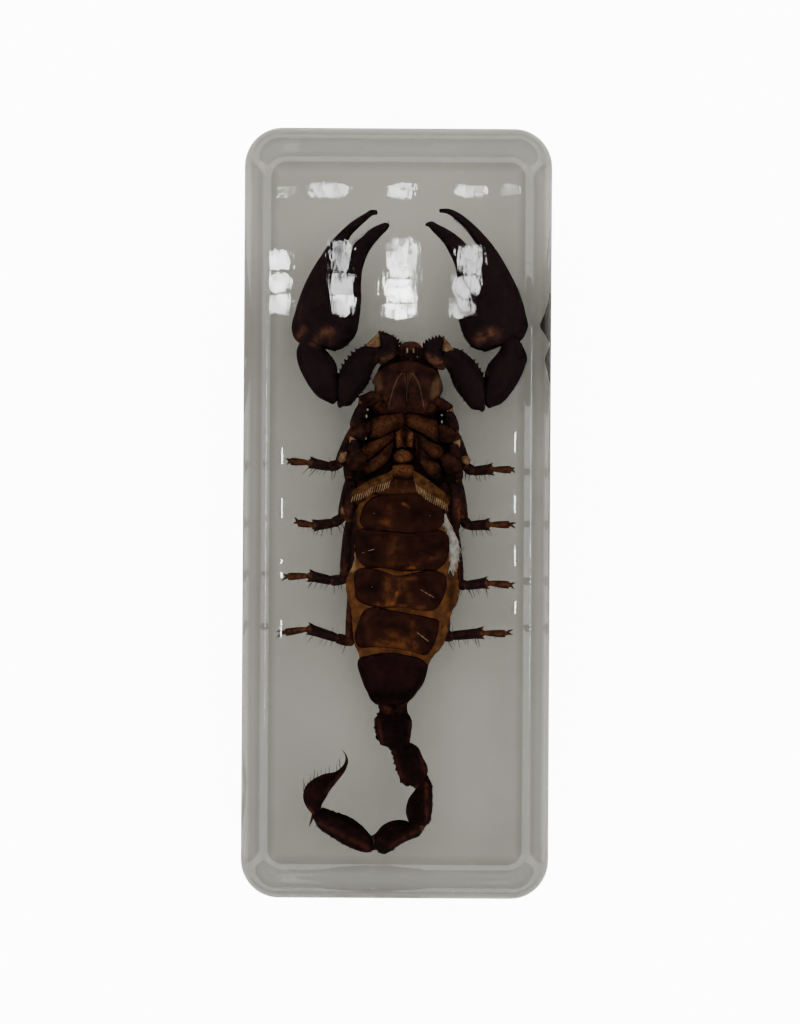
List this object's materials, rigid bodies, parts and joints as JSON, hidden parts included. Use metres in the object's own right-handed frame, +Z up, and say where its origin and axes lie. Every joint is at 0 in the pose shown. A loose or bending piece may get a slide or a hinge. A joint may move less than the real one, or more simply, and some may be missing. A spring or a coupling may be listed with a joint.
{
  "type": "scorpion in resin block",
  "caption": "Dark forest scorpion cast belly up in a clear rounded resin block, a desk or display specimen that lies flat.",
  "frame": {"origin": "centre of the block's flat base", "axes": "+Z up out of the top face, +Y along the block from the curled tail to the claws, +X to the right seen from above with the claws away from the viewer"},
  "size_m": [0.06, 0.15, 0.025],
  "materials": {
    "chitin": "near-black brown animal shell, semi-gloss, with amber-brown joints and belly membranes",
    "clear_resin": "clear cast resin, polished, see-through, faintly grey"
  },
  "bodies": {
    "root": {"scorpion": "chitin", "resin_lower_half": "clear_resin", "resin_upper_half": "clear_resin"}
  },
  "joints": []
}
